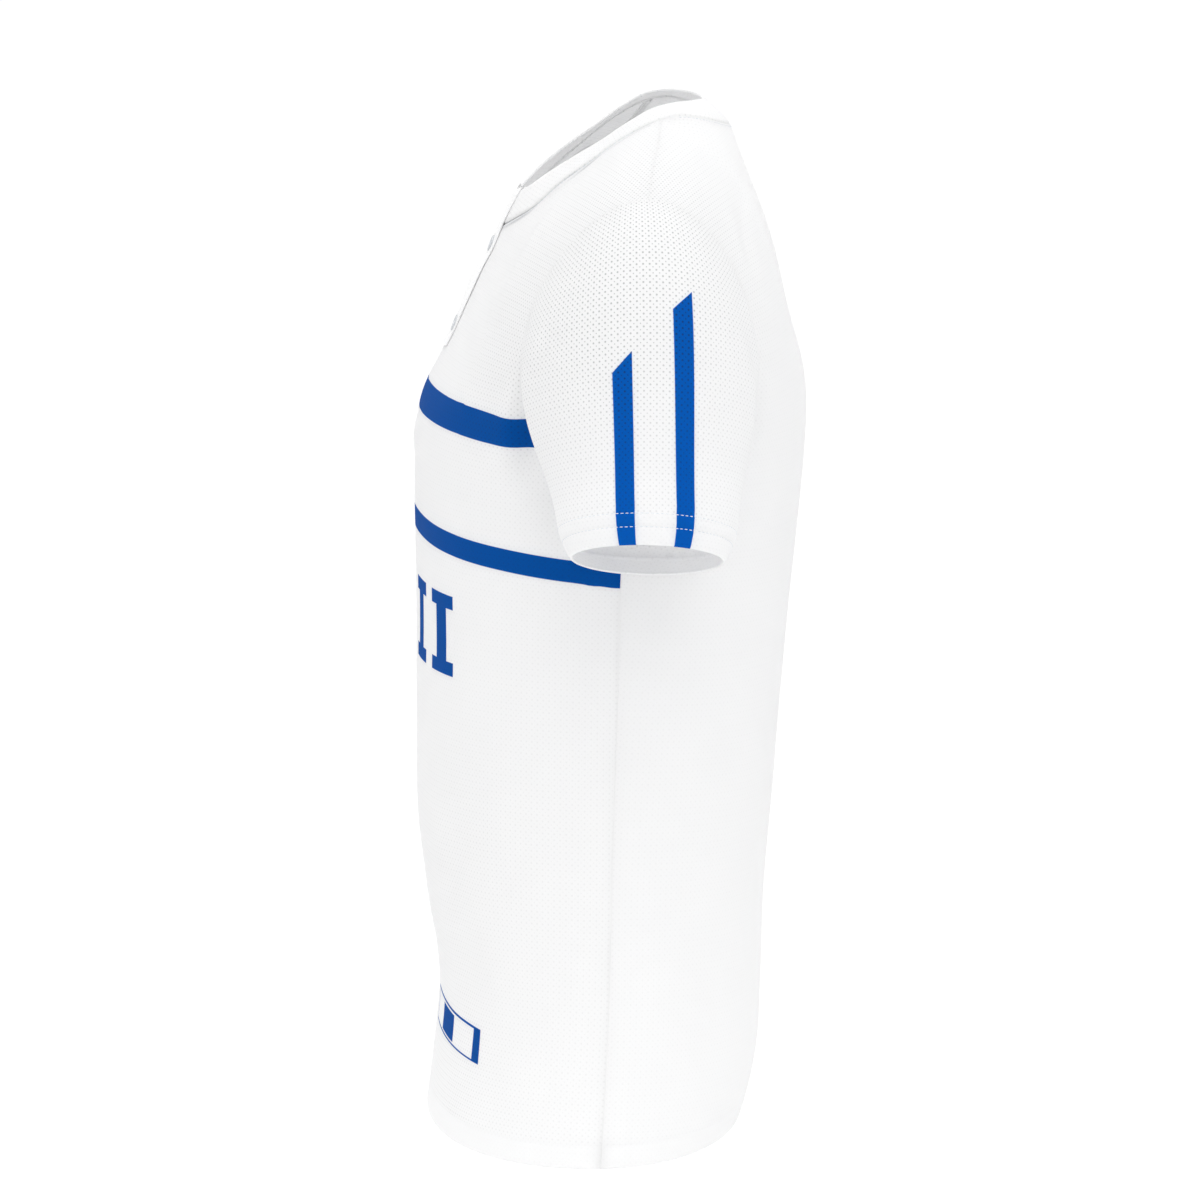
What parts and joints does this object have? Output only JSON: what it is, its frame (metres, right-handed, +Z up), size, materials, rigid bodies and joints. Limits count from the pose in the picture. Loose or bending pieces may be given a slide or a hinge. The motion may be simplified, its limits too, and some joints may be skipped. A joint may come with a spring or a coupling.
{
  "type": "softball jersey",
  "caption": "Short-sleeved softball jersey with a neck band and a short buttoned placket, hollow and filled out as if worn.",
  "frame": {"origin": "midway between the two shoulder seams, where the wearer's shoulders hold it", "axes": "+Z up towards the neck, -Y to the wearer's front, +X to the wearer's left"},
  "size_m": [0.5868, 0.2599, 0.6815],
  "materials": {
    "front_panel": "matte",
    "back_panel": "matte",
    "sleeve_left": "matte",
    "sleeve_right": "matte",
    "neck_band": "matte",
    "placket_top": "matte",
    "placket_under": "matte",
    "button_1": "satin",
    "button_2": "satin"
  },
  "bodies": {
    "root": {"front_panel": "front_panel", "back_panel": "back_panel", "sleeve_left": "sleeve_left", "sleeve_right": "sleeve_right", "neck_band": "neck_band", "placket_top": "placket_top", "placket_under": "placket_under", "button_1": "button_1", "button_2": "button_2"}
  },
  "joints": []
}
